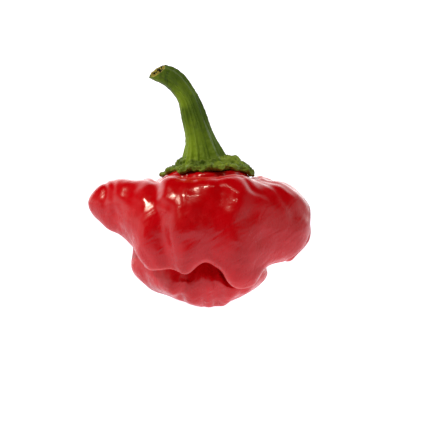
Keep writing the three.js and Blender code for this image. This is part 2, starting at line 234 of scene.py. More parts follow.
# Sines round the ring: count, depth, phase.
CALYX_SCALLOPS = ((9, 0.14, 0.6), (17, 0.12, 2.0), (38, 0.09, 0.0))
CALYX_WAVES = ((13, 0.25, 1.0), (29, 0.15, 0.0))
CALYX_VEINS = ((10, 0.10, 1.0 + math.pi / 2), (27, 0.07, math.pi / 2))
# Ripples: seed, wavelength, height.
CALYX_WRINKLES = ((7, 2.4, 0.22), (8, 1.0, 0.12))
CALYX_COLUMNS = 360
CALYX_ROWS = 150
RIM_SPAN = (0.4, 0.7)  # shares of the profile over which the paler rim sets in

# The stem's middle line: x, y, height.
STEM_LINE = (
    (0.2, 0.0, 33.2), (-0.4, 0.0, 37.0), (-1.9, 0.0, 43.0), (-4.2, 0.0, 49.2), (-7.5, 0.0, 52.9),
    (-10.6, 0.0, 54.3),
)
# Share of the stem from its foot, and radius there.
STEM_RADII = ((0.0, 5.2), (0.06, 4.5), (0.16, 3.65), (0.39, 2.7), (0.61, 2.25), (0.90, 2.2), (1.0, 2.05))
# The way the torn end faces, and the share of the stem over which the rings lean to it.
CUT_NORMAL = np.array((-0.58, -0.30, 0.75)) / np.linalg.norm((-0.58, -0.30, 0.75))
CUT_FADE = 0.16
CUT_HOLLOW = 0.25
# Ribs round the stem: count, depth, phase; full depth where the radius is RIB_RADIUS.
STEM_RIBS = ((5, 0.16, 0.4), (8, 0.12, 1.9), (13, 0.09, 0.7), (21, 0.06, 2.6), (34, 0.04, 1.2))
RIB_RADIUS = 3.0
RIB_SWAY_LIMITS = (0.2, 2.0)
# Ripples: seed, wavelength, height.
RIB_SWAY = ((11, 9.0, 0.5),)
STEM_UNEVENNESS = ((12, 1.3, 0.03),)
TORN_FACE = ((13, 1.1, 0.22), (14, 0.45, 0.14))
STEM_COLUMNS = 200
STEM_ROWS = 260
CUT_ROWS = 40
SHADE_TURN = 0.5  # radians from the stem's shaded side to where its ribs are counted from


# ---------------------------------------------------------------------------
# Curves and grids.
# ---------------------------------------------------------------------------
def smooth_curve(knots, rows, places):
    """Smooth curve through rows of numbers at rising knots, read at many places.

    A cubic Hermite: each tangent is the mean of the slopes on either side, each slope
    weighted by the other side's step. Rows may have any further axes.
    """
    knots = np.asarray(knots, float)
    rows = np.asarray(rows, float)
    places = np.asarray(places, float)
    steps = np.diff(knots)
    spread = steps.reshape(-1, *[1] * (rows.ndim - 1))
    slopes = np.diff(rows, axis=0) / spread
    tangents = np.empty_like(rows)
    tangents[1:-1] = (slopes[:-1] * spread[1:] + slopes[1:] * spread[:-1]) / (spread[1:] + spread[:-1])
    tangents[0] = slopes[0]
    tangents[-1] = slopes[-1]
    left = np.clip(np.searchsorted(knots, places, side="right") - 1, 0, len(steps) - 1)
    shape = places.shape + (1,) * (rows.ndim - 1)
    t = ((places - knots[left]) / steps[left]).reshape(shape)
    step = steps[left].reshape(shape)
    return (
        (2 * t**3 - 3 * t**2 + 1) * rows[left]
        + (t**3 - 2 * t**2 + t) * step * tangents[left]
        + (3 * t**2 - 2 * t**3) * rows[left + 1]
        + (t**3 - t**2) * step * tangents[left + 1]
    )


def ring_curve(rows, azimuths):
    """The same curve closed round the pod: each row is an azimuth and then its values."""
    rows = np.asarray(rows, float)
    turned = np.concatenate([rows] * 3)
    turned[:, 0] += np.repeat((-360.0, 0.0, 360.0), len(rows))
    return smooth_curve(turned[:, 0], turned[:, 1:], wrap_degrees(azimuths))


def wrap_degrees(angles):
    """Angles brought into -180 up to 180."""
    return (np.asarray(angles, float) + 180.0) % 360.0 - 180.0


def smooth_step(values, low=0.0, high=1.0):
    """0 below low, 1 above high, and an S-shaped rise between them."""
    t = np.clip((values - low) / (high - low), 0.0, 1.0)
    return t * t * (3.0 - 2.0 * t)


def station_knots():
    """Each station's share of the mean meridian's length."""
    mean = np.array([np.add(body, arm) / 2 for body, arm in STATIONS.values()])
    reached = np.concatenate([[0.0], np.cumsum(np.linalg.norm(np.diff(mean, axis=0), axis=1))])
    return reached / reached[-1]


KNOTS = station_knots()


def knot_of(name):
    """The knot of a named station."""
    return KNOTS[STATION_NAMES.index(name)]


class Ripples:
    """Smooth seeded noise: a sum of plane waves of random direction and phase.

    The value at a point is the mean of sin(k . point + phase) over the waves, with the
    wave vectors k drawn round the sphere at about one wavelength.
    """

    def __init__(self, seed, wavelength, waves=24):
        draw = np.random.default_rng(seed)
        ways = draw.normal(size=(waves, 3))
        ways /= np.linalg.norm(ways, axis=1)[:, None]
        self.k = ways * (2 * np.pi / wavelength) * draw.uniform(0.7, 1.4, size=(waves, 1))
        self.phase = draw.uniform(0, 2 * np.pi, size=waves)
        self.gain = math.sqrt(2.0 / waves)

    def __call__(self, points):
        return self.gain * np.sin(points @ self.k.T + self.phase).sum(axis=-1)


def ripple_sum(points, rows):
    """Sum of ripples at the points; each row is a seed, a wavelength and a height."""
    return sum(height * Ripples(seed, wavelength)(points) for seed, wavelength, height in rows)


def sine_sum(turn, rows):
    """Sum of sines round a ring; each row is a count of waves, a depth and a phase."""
    return sum(depth * np.sin(count * turn + phase) for count, depth, phase in rows)


def grid_normals(points):
    """Outward unit normals of a grid: rows run down, columns run counter-clockwise."""
    down = np.gradient(points, axis=0)
    across = (np.roll(points, -1, axis=1) - np.roll(points, 1, axis=1)) / 2
    normals = np.cross(down, across)
    return normals / np.maximum(np.linalg.norm(normals, axis=-1, keepdims=True), 1e-12)


def closed_mesh(name, grid):
    """A closed mesh from a grid of points in millimetres: its first and last rows are
    poles, the rows between them close round the axis, and quads join the rows."""
    rows, columns = grid.shape[0] - 2, grid.shape[1]
    points = np.concatenate([grid[1:-1].reshape(-1, 3), grid[:1].mean(axis=1), grid[-1:].mean(axis=1)])
    row = np.arange(rows - 1)[:, None] * columns
    column = np.arange(columns)
    after = (column + 1) % columns
    quads = np.stack([row + column, row + columns + column, row + columns + after, row + after], axis=-1)
    top, bottom = rows * columns, rows * columns + 1
    last = (rows - 1) * columns
    cap = np.stack([np.full(columns, top), column, after], axis=-1)
    base = np.stack([np.full(columns, bottom), last + after, last + column], axis=-1)
    mesh = bpy.data.meshes.new(name)
    faces = quads.reshape(-1, 4).tolist() + cap.tolist() + base.tolist()
    mesh.from_pydata((points * MM).tolist(), [], faces)
    mesh.polygons.foreach_set("use_smooth", np.ones(len(mesh.polygons), bool))
    mesh.update()
    return mesh


def point_values(grid_values):
    """Values on a grid, in the order of closed_mesh's points."""
    inner = grid_values[1:-1].reshape(-1)
    return np.concatenate([inner, [grid_values[0].mean(), grid_values[-1].mean()]])


def add_attribute(mesh, name, values):
    """A number at each point of the mesh, for its material to read."""
    attribute = mesh.attributes.new(name, "FLOAT", "POINT")
    attribute.data.foreach_set("value", np.asarray(values, np.float32))


def add_piece(name, mesh, material, node):
    """Puts a finished mesh into the scene and ties it to the frame."""
    piece = bpy.data.objects.new(name, mesh)
    bpy.context.scene.collection.objects.link(piece)
    piece.data.materials.append(material)
    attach(piece, BODY)
    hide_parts(node)


# ---------------------------------------------------------------------------
# Shapes.
# ---------------------------------------------------------------------------
def pod_meridians(azimuths):
    """Stations of many meridians: array of station x azimuth x (radius, height).

    Each is the body's meridian mixed with the arm's, pushed out and up by its lobe,
    with the rings' own wandering added.
    """
    arm, reach, rise, hem, tuck = ring_curve(LOBES, azimuths).T
    arm = np.clip(arm, 0.0, 1.0)[:, None]
    stations = np.stack([
        np.asarray(body) * (1 - arm) + np.asarray(left) * arm for body, left in STATIONS.values()
    ])
    for name, share in REACH_SHARES.items():
        stations[STATION_NAMES.index(name), :, 0] += share * reach
    for shares, lift in ((RISE_SHARES, rise), (HEM_SHARES, hem)):
        for name, share in shares.items():
            stations[STATION_NAMES.index(name), :, 1] += share * lift
    stations[STATION_NAMES.index("tuck"), :, 0] = tuck
    for name, rows in RINGS.items():
        stations[STATION_NAMES.index(name)] += ring_curve(rows, azimuths)
    return stations


def crease_depths(azimuths, along):
    """Depth of all creases on a grid: a bell across each one, fading at its two ends."""
    depth = np.zeros((len(along), len(azimuths)))
    for path, width, deepest in CREASES:
        knots = [knot_of(name) for name, _ in path]
        share = (along - knots[0]) / (knots[-1] - knots[0])
        fade = smooth_step(share, -CREASE_OVERRUN, CREASE_FADE - CREASE_OVERRUN)
        fade *= smooth_step(1 + CREASE_OVERRUN - share, 0.0, CREASE_FADE)
        centre = np.interp(along, knots, [turn for _, turn in path])
        across = wrap_degrees(azimuths[None, :] - centre[:, None]) / width
        depth += deepest * fade[:, None] * np.exp(-across**2)
    return depth


def polar_grid(azimuths, radii, heights):
    """Points at radii and heights, one column for each azimuth in degrees."""
    turn = np.radians(azimuths)[None, :]
    return np.stack([radii * np.cos(turn), radii * np.sin(turn), heights], axis=-1)


def pod_grid(columns, rows, detail):
    """The pod's skin on a grid of rows down the meridians by columns round the axis.

    Point = meridian at (azimuth, share of its length), pressed in along the meridian's
    normal by the creases and wrinkles; detail then adds lumps and fine unevenness along
    the skin's normal. Heights below the floor are flattened onto it.
    """
    azimuths = np.linspace(-180.0, 180.0, columns, endpoint=False)
    along = np.linspace(0.0, 1.0, rows)
    profile = smooth_curve(KNOTS, pod_meridians(azimuths), along)
    way = np.gradient(profile, along, axis=0)
    inwards = np.stack([way[..., 1], -way[..., 0]], axis=-1)
    inwards /= np.maximum(np.linalg.norm(inwards, axis=-1, keepdims=True), 1e-9)
    depth = crease_depths(azimuths, along)
    for name, width, swell in BEADS:
        depth -= swell * np.exp(-(((along - knot_of(name)) / width) ** 2))[:, None]
    left = -profile[..., 0] * np.cos(np.radians(azimuths))
    for distance, width, deepest in ARM_WRINKLES:
        depth += deepest * np.exp(-(((left - distance) / width) ** 2)) * smooth_step(
            profile[..., 1], *ARM_WRINKLE_FLOOR)
    profile = profile + depth[..., None] * inwards
    grid = polar_grid(azimuths, np.maximum(profile[..., 0], 0.0), profile[..., 1])
    if detail:
        grid = uneven_skin(grid, azimuths, along)
    grid[..., 2] = np.maximum(grid[..., 2], 0.0)
    return grid


def uneven_skin(grid, azimuths, along):
    """Lumps, hollows and a slight waviness, moved along the skin's normals."""
    normals = grid_normals(grid)
    height = ripple_sum(grid, WAVINESS)
    for azimuth, (first, second, share), size, swell in LUMPS:
        knot = knot_of(first) + share * (knot_of(second) - knot_of(first))
        row = int(np.argmin(np.abs(along - knot)))
        column = int(np.argmin(np.abs(wrap_degrees(azimuths - azimuth))))
        away = np.linalg.norm(grid - grid[row, column], axis=-1)
        height += swell * np.exp(-((away / size) ** 2))
    poles = smooth_step(along, 0.0, POLE_SHARE) * smooth_step(1 - along, 0.0, POLE_SHARE)
    return grid + normals * (height * poles[:, None])[..., None]


def crown_heights(azimuths, radii):
    """The crown's height under points at the given radii, one row of radii per share."""
    along = np.linspace(0.0, knot_of("groove"), CROWN_STEPS)
    profile = smooth_curve(KNOTS, pod_meridians(azimuths), along)
    inside = (profile[None, :, :, 0] < radii[:, None, :]).cumprod(axis=1).sum(axis=1)
    before = np.clip(inside - 1, 0, len(along) - 2)
    columns = np.arange(len(azimuths))
    start, end = profile[before, columns], profile[before + 1, columns]
    share = np.clip((radii - start[..., 0]) / (end[..., 0] - start[..., 0]), 0.0, 1.0)
    return start[..., 1] + share * (end[..., 1] - start[..., 1])


def calyx_grid(columns, rows):
    """The calyx: a low cone from the stem's neck out to a scalloped rim, rolled over its
    edge and back under itself a hair above the crown, and wrinkled along its normals."""
    azimuths = np.linspace(-180.0, 180.0, columns, endpoint=False)
    rim, rim_height = ring_curve(CALYX_RIM, azimuths).T
    turn = np.radians(azimuths)
    tilt = np.cos(turn)
    rim = rim + sine_sum(turn, CALYX_SCALLOPS)
    rim_height = rim_height + sine_sum(turn, CALYX_WAVES)
    under_radii = np.array(CALYX_UNDER_SHARES)[:, None] * rim
    under = crown_heights(azimuths, under_radii) + CALYX_CLEARANCE
    under[0] = np.maximum(under[0], rim_height - CALYX_EDGE)
    edge = np.maximum(rim_height, under[0] + CALYX_EDGE)
    neck_radius, neck_height, neck_tilt = CALYX_NECK
    middle_share, middle_height, middle_tilt = CALYX_MIDDLE
    slope_share, slope_height, slope_tilt = CALYX_SLOPE
    slope = SLOPE_EDGE_SHARE * edge + (1 - SLOPE_EDGE_SHARE) * (slope_height + slope_tilt * tilt)
    crown = crown_heights(azimuths, slope_share * rim[None, :])[0]
    flat = np.zeros(columns)
    upper = np.stack([
        np.stack([flat, flat + neck_height], axis=-1),
        np.stack([flat + neck_radius, neck_height + neck_tilt * tilt], axis=-1),
        np.stack([middle_share * rim, middle_height + middle_tilt * tilt], axis=-1),
        np.stack([slope_share * rim, np.maximum(slope, crown + CALYX_EDGE)], axis=-1),
        np.stack([rim, edge + CALYX_LIP], axis=-1),
        np.stack([CALYX_ROLL * rim, (edge + under[0]) / 2], axis=-1),
    ])
    lower = np.stack([under_radii, under], axis=-1)
    along = np.linspace(0.0, 1.0, rows)
    profile = smooth_curve(CALYX_KNOTS, np.concatenate([upper, lower]), along)
    grid = polar_grid(azimuths, np.maximum(profile[..., 0], 0.0), profile[..., 1])
    top_side = smooth_step(along, *CALYX_TOP_SPAN) * smooth_step(CALYX_TOP_END - along, 0.0, CALYX_TOP_FADE)
    lift = (ripple_sum(grid, CALYX_WRINKLES) + sine_sum(turn, CALYX_VEINS)) * top_side[:, None]
    return grid + grid_normals(grid) * lift[..., None]


def stem_grid(columns, rows, cap_rows):
    """The stem, cut end first: rings square to its middle line with fine ribs along it.

    Ring point = middle + radius x (cosine, sine) in the ring's plane. Towards the cut
    the rings lean over until the last one lies in the cut's plane, which the cap rows
    close with a rough, slightly hollow face.
    Returns the grid, each point's share of the stem, and the cap's share of radius.
    """
    shares = np.linspace(1.0, 0.0, rows)
    marks = np.asarray(STEM_LINE)
    reached = np.concatenate([[0.0], np.cumsum(np.linalg.norm(np.diff(marks, axis=0), axis=1))])
    middle = smooth_curve(reached / reached[-1], marks, shares)
    ahead = -np.gradient(middle, axis=0)
    ahead /= np.linalg.norm(ahead, axis=1)[:, None]
    radii = smooth_curve([s for s, _ in STEM_RADII], [[r] for _, r in STEM_RADII], shares)
    turn = np.linspace(0.0, 2 * np.pi, columns, endpoint=False)
    sideways = np.array((0.0, 1.0, 0.0))
    across = np.cross(sideways[None, :], ahead)[:, None, :] * np.cos(turn)[None, :, None]
    across = across + sideways * np.sin(turn)[None, :, None]
    sway = np.clip(1.0 + ripple_sum(middle, RIB_SWAY)[:, None], *RIB_SWAY_LIMITS)
    ribs = sine_sum(turn, STEM_RIBS)[None, :] * sway * (radii / RIB_RADIUS)
    across = across * (radii + ribs)[..., None]
    lean = smooth_step(shares, 1 - CUT_FADE, 1.0)[:, None]
    slide = -lean * (across @ CUT_NORMAL) / (ahead @ CUT_NORMAL)[:, None]
    sides = middle[:, None, :] + across + ahead[:, None, :] * slide[..., None]
    sides = sides + grid_normals(sides) * ripple_sum(sides, STEM_UNEVENNESS)[..., None]

    closeness = np.linspace(0.0, 1.0, cap_rows, endpoint=False)[:, None, None]
    cap = middle[0] + (sides[0][None] - middle[0]) * closeness
    torn = ripple_sum(cap, TORN_FACE) * (1 - closeness[..., 0] ** 6)
    hollow = CUT_HOLLOW * (1 - closeness[..., 0] ** 2)
    cap = cap + CUT_NORMAL * (torn - hollow)[..., None]
    base = np.repeat(middle[-1][None, None, :], columns, axis=1)
    grid = np.concatenate([cap, sides, base])
    length_share = np.concatenate([np.ones(cap_rows), shares, [0.0]])
    core_share = np.concatenate([closeness[:, 0, 0], np.ones(rows + 1)])
    return grid, length_share, core_share


# ---------------------------------------------------------------------------
# Materials.
# ---------------------------------------------------------------------------
def linear(colour):
    """A colour given as displayed, as the linear colour that a shader takes."""
    values = np.asarray(colour, float)
    low = values / 12.92
    high = ((values + 0.055) / 1.055) ** 2.4
    return (*np.where(values <= 0.04045, low, high), 1.0)


class Nodes:
    """Short hand for building one node tree."""

    def __init__(self, tree):
        self.tree = tree

    def add(self, kind, **settings):
        """A new node with its settings."""
        node = self.tree.nodes.new(kind)
        for name, value in settings.items():
            setattr(node, name, value)
        return node

    def put(self, socket, value):
        """A link or a plain value, put into a socket."""
        if isinstance(value, bpy.types.NodeSocket):
            self.tree.links.new(value, socket)
        else:
            socket.default_value = value

    def coordinates(self, scale=(1.0, 1.0, 1.0), lean=0.0):
        """Object coordinates in millimetres, leant about Y by an angle and then scaled."""
        turned = self.add("ShaderNodeVectorRotate", rotation_type="Y_AXIS")
        self.put(turned.inputs["Vector"], self.add("ShaderNodeTexCoord").outputs["Object"])
        self.put(turned.inputs["Angle"], lean)
        mapping = self.add("ShaderNodeMapping")
        self.put(mapping.inputs["Vector"], turned.outputs["Vector"])
        mapping.inputs["Scale"].default_value = [value / MM for value in scale]
        return mapping.outputs["Vector"]

    def noise(self, vector, scale, detail=3.0, roughness=0.5, distortion=0.0):
        """Noise about 0.5 at a vector."""
        node = self.add("ShaderNodeTexNoise")
        self.put(node.inputs["Vector"], vector)
        self.put(node.inputs["Scale"], scale)
        self.put(node.inputs["Detail"], detail)
        self.put(node.inputs["Roughness"], roughness)
        self.put(node.inputs["Distortion"], distortion)
        return node.outputs["Fac"]

    def math(self, operation, first, second=0.0):
        """Arithmetic on one or two values."""
        node = self.add("ShaderNodeMath", operation=operation)
        self.put(node.inputs[0], first)
        self.put(node.inputs[1], second)
        return node.outputs[0]

    def span(self, value, low, high, out_low=0.0, out_high=1.0):
        """A value between low and high, carried smoothly to out_low up to out_high."""
        node = self.add("ShaderNodeMapRange", interpolation_type="SMOOTHSTEP")
        for name, number in (("Value", value), ("From Min", low), ("From Max", high),
                             ("To Min", out_low), ("To Max", out_high)):
            self.put(node.inputs[name], number)
        return node.outputs["Result"]

    def mix(self, share, first, second):
        """A colour mixed from two by a share."""
        node = self.add("ShaderNodeMix", data_type="RGBA")
        factor, first_colour, second_colour = (node.inputs[i] for i in (0, 6, 7))
        self.put(factor, share)
        self.put(first_colour, first)
        self.put(second_colour, second)
        return node.outputs[2]

    def attribute(self, name):
        """A number that the mesh carries at each point."""
        return self.add("ShaderNodeAttribute", attribute_name=name).outputs["Fac"]

    def bump(self, height, distance, strength=1.0, normal=None):
        """A normal tipped by a height; distance is in millimetres."""
        node = self.add("ShaderNodeBump")
        self.put(node.inputs["Height"], height)
        node.inputs["Distance"].default_value = distance * MM
        node.inputs["Strength"].default_value = strength
        if normal is not None:
            self.put(node.inputs["Normal"], normal)
        return node.outputs["Normal"]


def new_material(name):
    """A new material, short hand for its nodes, and its shader."""
    material = bpy.data.materials.new(name)
    material.use_nodes = True
    nodes = Nodes(material.node_tree)
    return material, nodes, material.node_tree.nodes["Principled BSDF"]


GRAIN_NAME = "plant grain"
GRAIN_INPUTS = (("Place", "Vector"), ("Along", "Vector"), ("Streak scale", "Float"),
                ("Cloud scale", "Float"), ("Speck scale", "Float"))
GRAIN_OUTPUTS = ("Streak", "Cloud", "Speck")


def grain_group():
    """The grain that every skin of the plant shares: fine streaks drawn out along the
    growth, broad clouds and small specks, each a mask about 0.5."""
    tree = bpy.data.node_groups.get(GRAIN_NAME)
    if tree:
        return tree
    tree = bpy.data.node_groups.new(GRAIN_NAME, "ShaderNodeTree")
    for name, kind in GRAIN_INPUTS:
        tree.interface.new_socket(name=name, in_out="INPUT", socket_type="NodeSocket" + kind)
    for name in GRAIN_OUTPUTS:
        tree.interface.new_socket(name=name, in_out="OUTPUT", socket_type="NodeSocketFloat")
    nodes = Nodes(tree)
    given = nodes.add("NodeGroupInput").outputs
    result = nodes.add("NodeGroupOutput").inputs
    streak = nodes.noise(given["Along"], given["Streak scale"], detail=5.0, roughness=0.62, distortion=0.5)
    nodes.put(result["Streak"], streak)
    nodes.put(result["Cloud"], nodes.noise(given["Place"], given["Cloud scale"], detail=4.0))
    nodes.put(result["Speck"], nodes.noise(given["Place"], given["Speck scale"], detail=4.0, roughness=0.7))
    return tree


def grain(nodes, stretch, streak_scale, cloud_scale, speck_scale):
    """The shared grain placed in one material; returns its streak, cloud and speck masks."""
    group = nodes.add("ShaderNodeGroup", node_tree=grain_group())
    values = (nodes.coordinates(), nodes.coordinates(stretch), streak_scale, cloud_scale, speck_scale)
    for (name, _), value in zip(GRAIN_INPUTS, values):
        nodes.put(group.inputs[name], value)
    return [group.outputs[name] for name in GRAIN_OUTPUTS]


# Silky streaks on the lower skin: their stretch, how far they lean from level, the heights
# in millimetres between which they fade, their depth, and how much duller they make it.
SILK_STRETCH = (0.22, 0.6, 1.0)
SILK_LEAN = math.radians(32)
SILK_SPAN = (20.0, 27.0)
SILK_DEPTH = 0.42
SILK_DULLNESS = 0.12
# Fine pits in the skin: their depth.
PIT_DEPTH = 0.016
SKIN_ROUGHNESS = (0.12, 0.23)
SKIN_IOR = 1.43
GREEN_SPECULAR = 0.22
SCUFF_BROWN = (0.36, 0.27, 0.10)


def skin_material(colours):
    """Glossy red skin: deep red with darker clouds, faint paler streaks, painted bounce light (paler red)
    in the tuck and painted highlights along the rolled edges, silky streaks low down, and fine pits that
    break up its highlights."""
    material, nodes, shader = new_material("red pepper skin")
    streak, cloud, speck = grain(nodes, (1.0, 1.0, 0.3), 0.5, 0.10, 2.2)
    red = nodes.mix(nodes.span(cloud, 0.35, 0.65), linear(colours.skin_deep), linear(colours.skin))
    red = nodes.mix(nodes.span(streak, 0.5, 0.75, 0.0, 0.4), red, linear(colours.skin_pale))
    # Painted bounce light: the tuck under the hem is mixed towards a paler red.
    fold = nodes.span(nodes.attribute("fold"), 0.1, 1.0, 0.0, 0.6)
    red = nodes.mix(fold, red, linear(colours.skin_fold_bounce_light))
    # Painted highlight: the rolled edges of lip and hem are mixed towards a pale pink.
    edge = nodes.math("MULTIPLY", nodes.attribute("edge"), nodes.span(cloud, 0.3, 0.7, 0.2, 0.55))
    nodes.put(shader.inputs["Base Color"], nodes.mix(edge, red, linear(colours.skin_edge_highlight)))
    height = nodes.add("ShaderNodeSeparateXYZ")
    nodes.put(height.inputs[0], nodes.coordinates())
    low = nodes.span(height.outputs["Z"], *SILK_SPAN, 1.0, 0.1)
    roughness = nodes.span(streak, 0.3, 0.75, *SKIN_ROUGHNESS)
    dullness = nodes.math("MULTIPLY", low, SILK_DULLNESS)
    nodes.put(shader.inputs["Roughness"], nodes.math("ADD", roughness, dullness))
    silk = nodes.noise(nodes.coordinates(SILK_STRETCH, SILK_LEAN), 0.6, detail=3.5, distortion=0.8)
    normal = nodes.bump(nodes.math("MULTIPLY", silk, low), SILK_DEPTH, 0.6)
    normal = nodes.bump(speck, PIT_DEPTH, 0.8, normal)
    nodes.put(shader.inputs["Normal"], normal)
    shader.inputs["IOR"].default_value = SKIN_IOR
    return material


def green_material(name, dark, mid, light, roughness, stretch):
    """Green plant tissue with streaks, broad paler clouds and brown scuffs. Returns its
    colour unlinked, for the caller to finish."""
    material, nodes, shader = new_material(name)
    streak, cloud, speck = grain(nodes, stretch, 1.6, 0.16, 1.1)
    green = nodes.mix(nodes.span(streak, 0.30, 0.55), linear(dark), linear(mid))
    green = nodes.mix(nodes.span(cloud, 0.45, 0.65, 0.0, 0.8), green, linear(light))
    green = nodes.mix(nodes.span(speck, 0.67, 0.74, 0.0, 0.6), green, linear(SCUFF_BROWN))
    nodes.put(shader.inputs["Roughness"], nodes.span(streak, 0.3, 0.7, roughness - 0.08, roughness + 0.12))
    normal = nodes.bump(streak, 0.25, 0.6)
    normal = nodes.bump(speck, 0.12, 0.5, normal)
    nodes.put(shader.inputs["Normal"], normal)
    shader.inputs["Specular IOR Level"].default_value = GREEN_SPECULAR
    return material, nodes, shader, green


def calyx_material(colours):
    """Calyx green, paler towards its rim."""
    material, nodes, shader, green = green_material(
        "calyx green", colours.calyx_dark, colours.calyx, colours.calyx_light, 0.55, (1.0, 1.0, 1.0))
    rim = nodes.span(nodes.attribute("rim"), 0.75, 1.0, 0.0, 0.4)
    nodes.put(shader.inputs["Base Color"], nodes.mix(rim, green, linear(colours.calyx_light)))
    return material


def stem_material(colours):
    """Stem green, brighter low down and darker on its shaded side, with yellow pith and
    blackened patches on the torn end."""
    material, nodes, shader, green = green_material(
        "stem green", colours.stem_dark_and_shade, colours.stem, colours.stem_light, 0.48, (1.0, 1.0, 0.1))
    low = nodes.span(nodes.attribute("length_share"), 0.15, 0.5, 0.7, 0.0)
    green = nodes.mix(low, green, linear(colours.stem_light))
    # Painted shade: one side of the stem is mixed towards the dark green.
    shaded = nodes.span(nodes.attribute("shade_side"), 0.4, 0.95, 0.0, 0.55)
    green = nodes.mix(shaded, green, linear(colours.stem_dark_and_shade))
    patches = nodes.noise(nodes.coordinates(), 1.0, detail=4.0, roughness=0.7)
    pith = nodes.mix(nodes.span(patches, 0.46, 0.56), linear(colours.pith), linear(colours.scab))
    core = nodes.span(nodes.attribute("core_share"), 0.86, 0.98)
    nodes.put(shader.inputs["Base Color"], nodes.mix(core, pith, green))
    return material


# ---------------------------------------------------------------------------
# Settings.
# ---------------------------------------------------------------------------
def colour_setting(name, description, default):
    """A colour property with its name, description and default."""
    return bpy.props.FloatVectorProperty(
        name=name, description=description, default=default,
        subtype="COLOR_GAMMA", size=3, min=0.0, max=1.0)


class PepperColours(bpy.types.PropertyGroup):
    """Colours as they are displayed."""

    skin: colour_setting("Skin", "Ripe red of the skin", (0.79, 0.0, 0.05))
    skin_deep: colour_setting("Deep skin", "Darker clouds in the red", (0.74, 0.0, 0.03))
    skin_pale: colour_setting("Pale skin", "Faint paler streaks", (0.84, 0.05, 0.10))
    # Painted bounce light: paler red in the tuck under the hem.
    skin_fold_bounce_light: colour_setting("Folded skin", "Red tucked in under the hem", (0.86, 0.13, 0.19))
    # Painted highlight: pale pink along the rolled edges of lip and hem.
    skin_edge_highlight: colour_setting("Edge skin", "Thin rolled edges of lip and hem", (0.93, 0.38, 0.36))
    calyx: colour_setting("Calyx", "Middle green of the calyx", (0.36, 0.46, 0.11))
    calyx_dark: colour_setting("Dark calyx", "Green in its wrinkles", (0.22, 0.29, 0.05))
    calyx_light: colour_setting("Light calyx", "Bright green of its edges", (0.52, 0.62, 0.18))
    stem: colour_setting("Stem", "Middle green of the stem", (0.37, 0.48, 0.07))
    # Dark green of the streaks, and also the painted shade on the stem's shaded side.
    stem_dark_and_shade: colour_setting("Dark stem", "Green between the ribs", (0.22, 0.33, 0.05))
    stem_light: colour_setting("Light stem", "Yellow-green low on the stem", (0.52, 0.64, 0.12))
    pith: colour_setting("Pith", "Yellow of the torn end", (0.68, 0.64, 0.26))
    scab: colour_setting("Scab", "Dark patches on the torn end", (0.12, 0.11, 0.04))


class PepperSizes(bpy.types.PropertyGroup):
    """Fineness of the pod's mesh, and the camera's place and lens."""

    pod_columns: bpy.props.IntProperty(
        name="Pod columns", description="Quads round the pod", default=288, min=48, max=400)
    pod_rows: bpy.props.IntProperty(
        name="Pod rows", description="Rows of quads down the pod", default=300, min=48, max=400)
    camera_distance: bpy.props.FloatProperty(
        name="Camera distance", description="From the camera to its target", default=0.35, unit="LENGTH")
    camera_height: bpy.props.FloatProperty(
        name="Camera elevation", description="Angle of the camera above level", default=math.radians(8),
        subtype="ANGLE", unit="ROTATION")
    lens: bpy.props.FloatProperty(
        name="Lens", description="Focal length", default=126.0, unit="CAMERA")
    target: bpy.props.FloatVectorProperty(
        name="Target", description="The point that the camera looks at", default=(0.0020, 0.0, 0.0213),
        subtype="XYZ", unit="LENGTH")


# ---------------------------------------------------------------------------
# Operators.
# ---------------------------------------------------------------------------
def frame_shift(node="pod"):
    """How far across the floor the frame's axis is from the axis of the measures above:
    the middle of the node's box less the middle of the plain pod's, in millimetres."""
    low, high = (np.array(corner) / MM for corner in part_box(node))
    plain = pod_grid(PLAIN_FINENESS, PLAIN_FINENESS, detail=False).reshape(-1, 3)
    shift = (low + high) / 2 - (plain.min(axis=0) + plain.max(axis=0)) / 2
    return shift * (1, 1, 0)


class PEPPER_OT_pod(bpy.types.Operator):
    """Builds the lobed red pod"""

    bl_idname = "pepper.pod"
    bl_label = "Pod"

    def execute(self, context):
        sizes = context.scene.pepper_sizes
        grid = pod_grid(sizes.pod_columns, sizes.pod_rows, detail=True)
        mesh = closed_mesh("pod_skin", grid + frame_shift())
        along = np.linspace(0.0, 1.0, sizes.pod_rows)
        # Mask for the painted bounce light in the tuck.
        tucked = np.exp(-(((along - knot_of("tuck")) / TUCK_WIDTH) ** 2))[:, None]
        add_attribute(mesh, "fold", point_values(np.repeat(tucked, sizes.pod_columns, axis=1)))
        # Mask for the painted highlights along the rolled edges of lip and hem.
        edge = sum(np.exp(-(((along - knot_of(name)) / width) ** 2)) for name, width, _ in BEADS)
        add_attribute(mesh, "edge", point_values(np.repeat(edge[:, None], sizes.pod_columns, axis=1)))
        add_piece("pod_skin", mesh, skin_material(context.scene.pepper_colours), "pod")
        return {"FINISHED"}


class PEPPER_OT_calyx(bpy.types.Operator):
    """Builds the scalloped calyx on the crown"""

    bl_idname = "pepper.calyx"
    bl_label = "Calyx"

    def execute(self, context):
        mesh = closed_mesh("calyx_collar", calyx_grid(CALYX_COLUMNS, CALYX_ROWS) + frame_shift())
        rim = smooth_step(np.linspace(0, 1, CALYX_ROWS), *RIM_SPAN)[:, None]
        add_attribute(mesh, "rim", point_values(np.repeat(rim, CALYX_COLUMNS, axis=1)))
        material = calyx_material(context.scene.pepper_colours)
        add_piece("calyx_collar", mesh, material, "calyx")
        return {"FINISHED"}


